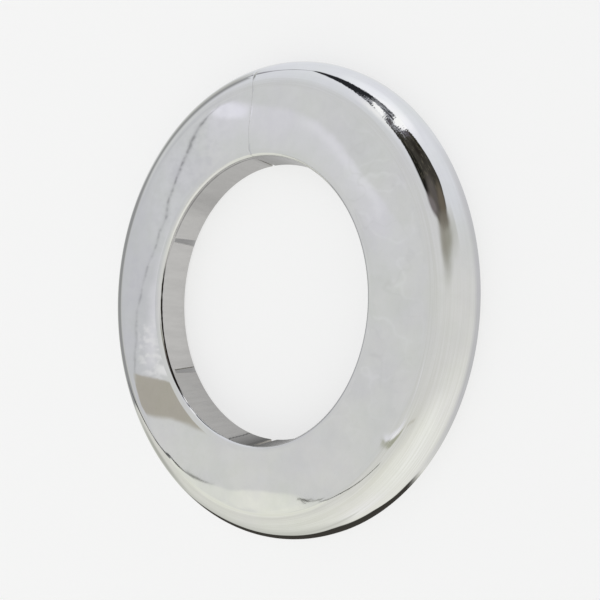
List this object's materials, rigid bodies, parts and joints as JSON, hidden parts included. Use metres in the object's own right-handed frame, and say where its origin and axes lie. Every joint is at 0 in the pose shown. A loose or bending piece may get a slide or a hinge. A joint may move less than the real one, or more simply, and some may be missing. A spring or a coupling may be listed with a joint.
{
  "type": "pipe rosette",
  "caption": "Flat chromed ring with a rounded shoulder and a slit collar, split once so that it opens round a pipe to hide its hole in the wall.",
  "frame": {"origin": "centre of the bore axis in the plane of the rim that seats on the wall", "axes": "+Z along the bore axis out of the wall, through the showing face; +X towards twelve o'clock, just beside the split; -Y towards three o'clock"},
  "size_m": [0.086, 0.086, 0.0062],
  "materials": {
    "bright_chrome": "bright chrome plating with a mirror polish on the face"
  },
  "bodies": {
    "root": {"rosette_ring": "bright_chrome"}
  },
  "joints": []
}
